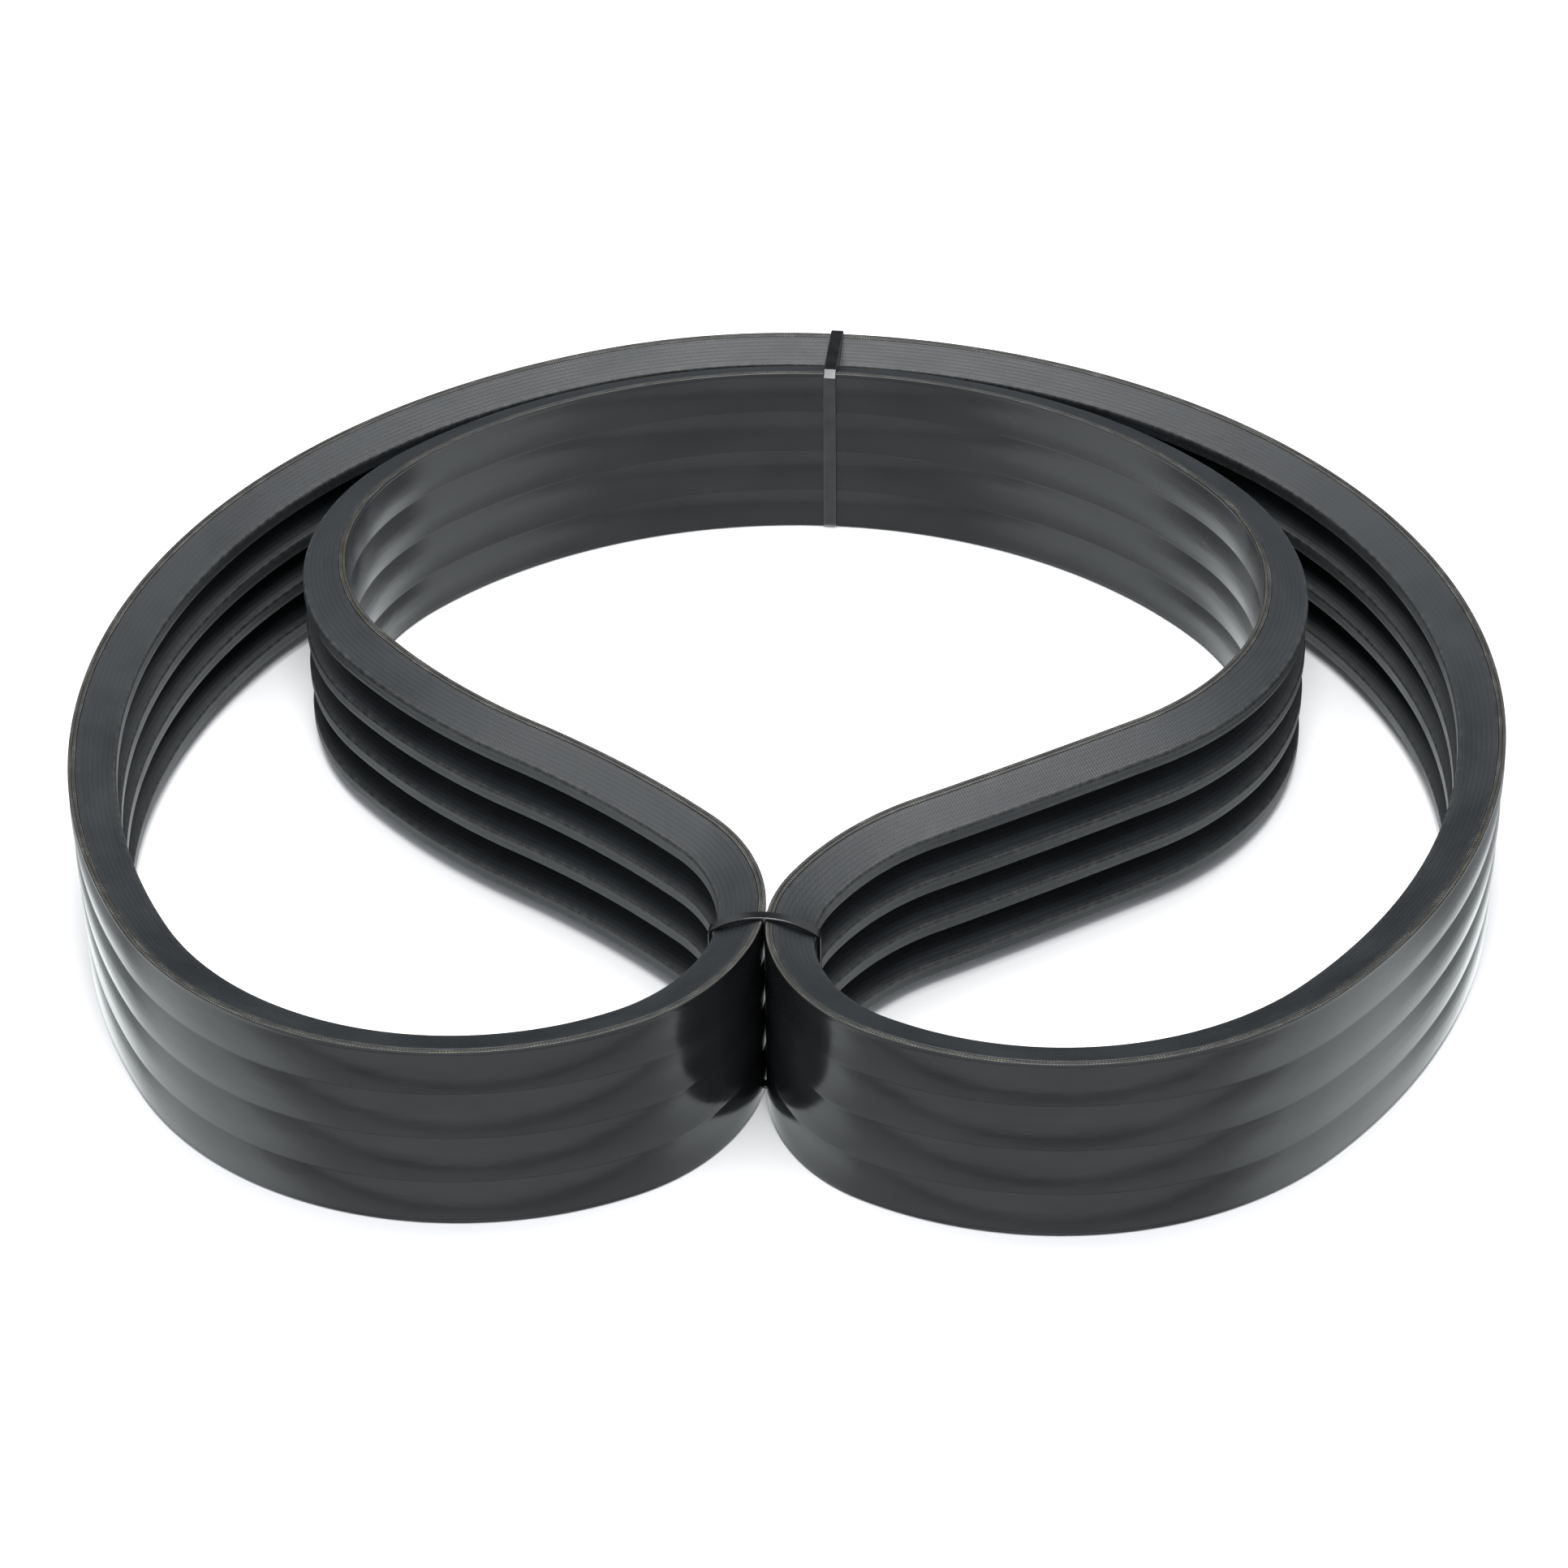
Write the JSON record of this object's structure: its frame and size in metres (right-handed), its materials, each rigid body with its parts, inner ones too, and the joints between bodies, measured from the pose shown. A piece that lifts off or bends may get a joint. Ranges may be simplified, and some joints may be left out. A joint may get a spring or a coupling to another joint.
{
  "type": "v belt",
  "caption": "Joined wrapped V belt with side-by-side ribs under a fabric tie band, folded into a kidney-shaped bundle and held by cable ties.",
  "frame": {"origin": "under the middle of the folded belt's bounding box, on the surface it rests on", "axes": "+Z across the ribs, up from the lower band edge; +X across the two lobes, to the right; +Y from the two lobes in front to the rounded back"},
  "size_m": [0.4848, 0.4602, 0.0699],
  "materials": {
    "band_fabric": "rubber-impregnated woven fabric, satin",
    "cover_fabric": "rubber-impregnated woven cover, satin, faint weave",
    "top_rubber": "dense black rubber",
    "tensile_cord": "twisted polyester cord",
    "adhesion_rubber": "soft adhesion rubber",
    "core_rubber": "fibre-loaded rubber",
    "tie_nylon": "moulded black nylon, glossy"
  },
  "bodies": {
    "folded_belt": {"tie_band_outer_ply": "band_fabric", "tie_band_inner_ply": "band_fabric", "rib_1_cover": "cover_fabric", "rib_1_top_rubber": "top_rubber", "rib_1_cords": "tensile_cord", "rib_1_cord_rubber": "adhesion_rubber", "rib_1_core": "core_rubber", "rib_2_cover": "cover_fabric", "rib_2_top_rubber": "top_rubber", "rib_2_cords": "tensile_cord", "rib_2_cord_rubber": "adhesion_rubber", "rib_2_core": "core_rubber", "rib_3_cover": "cover_fabric", "rib_3_top_rubber": "top_rubber", "rib_3_cords": "tensile_cord", "rib_3_cord_rubber": "adhesion_rubber", "rib_3_core": "core_rubber", "rib_4_cover": "cover_fabric", "rib_4_top_rubber": "top_rubber", "rib_4_cords": "tensile_cord", "rib_4_cord_rubber": "adhesion_rubber", "rib_4_core": "core_rubber", "back_tie": "tie_nylon", "front_tie": "tie_nylon"},
    "back_pawl": {"back_tie_pawl": "tie_nylon"},
    "front_pawl": {"front_tie_pawl": "tie_nylon"}
  },
  "joints": [
    {"name": "back_pawl_hinge", "type": "hinge", "parent": "folded_belt", "child": "back_pawl", "pos_m": [0.02111, 0.22434, 0.03772], "axis": [0.994, -0.1094, 0], "range_deg": [0, 14], "stiffness_Nm_per_rad": 0.004},
    {"name": "front_pawl_hinge", "type": "hinge", "parent": "folded_belt", "child": "front_pawl", "pos_m": [0.01068, -0.15714, 0.02731], "axis": [-0.1045, -0.9945, 0], "range_deg": [0, 14], "stiffness_Nm_per_rad": 0.003}
  ]
}
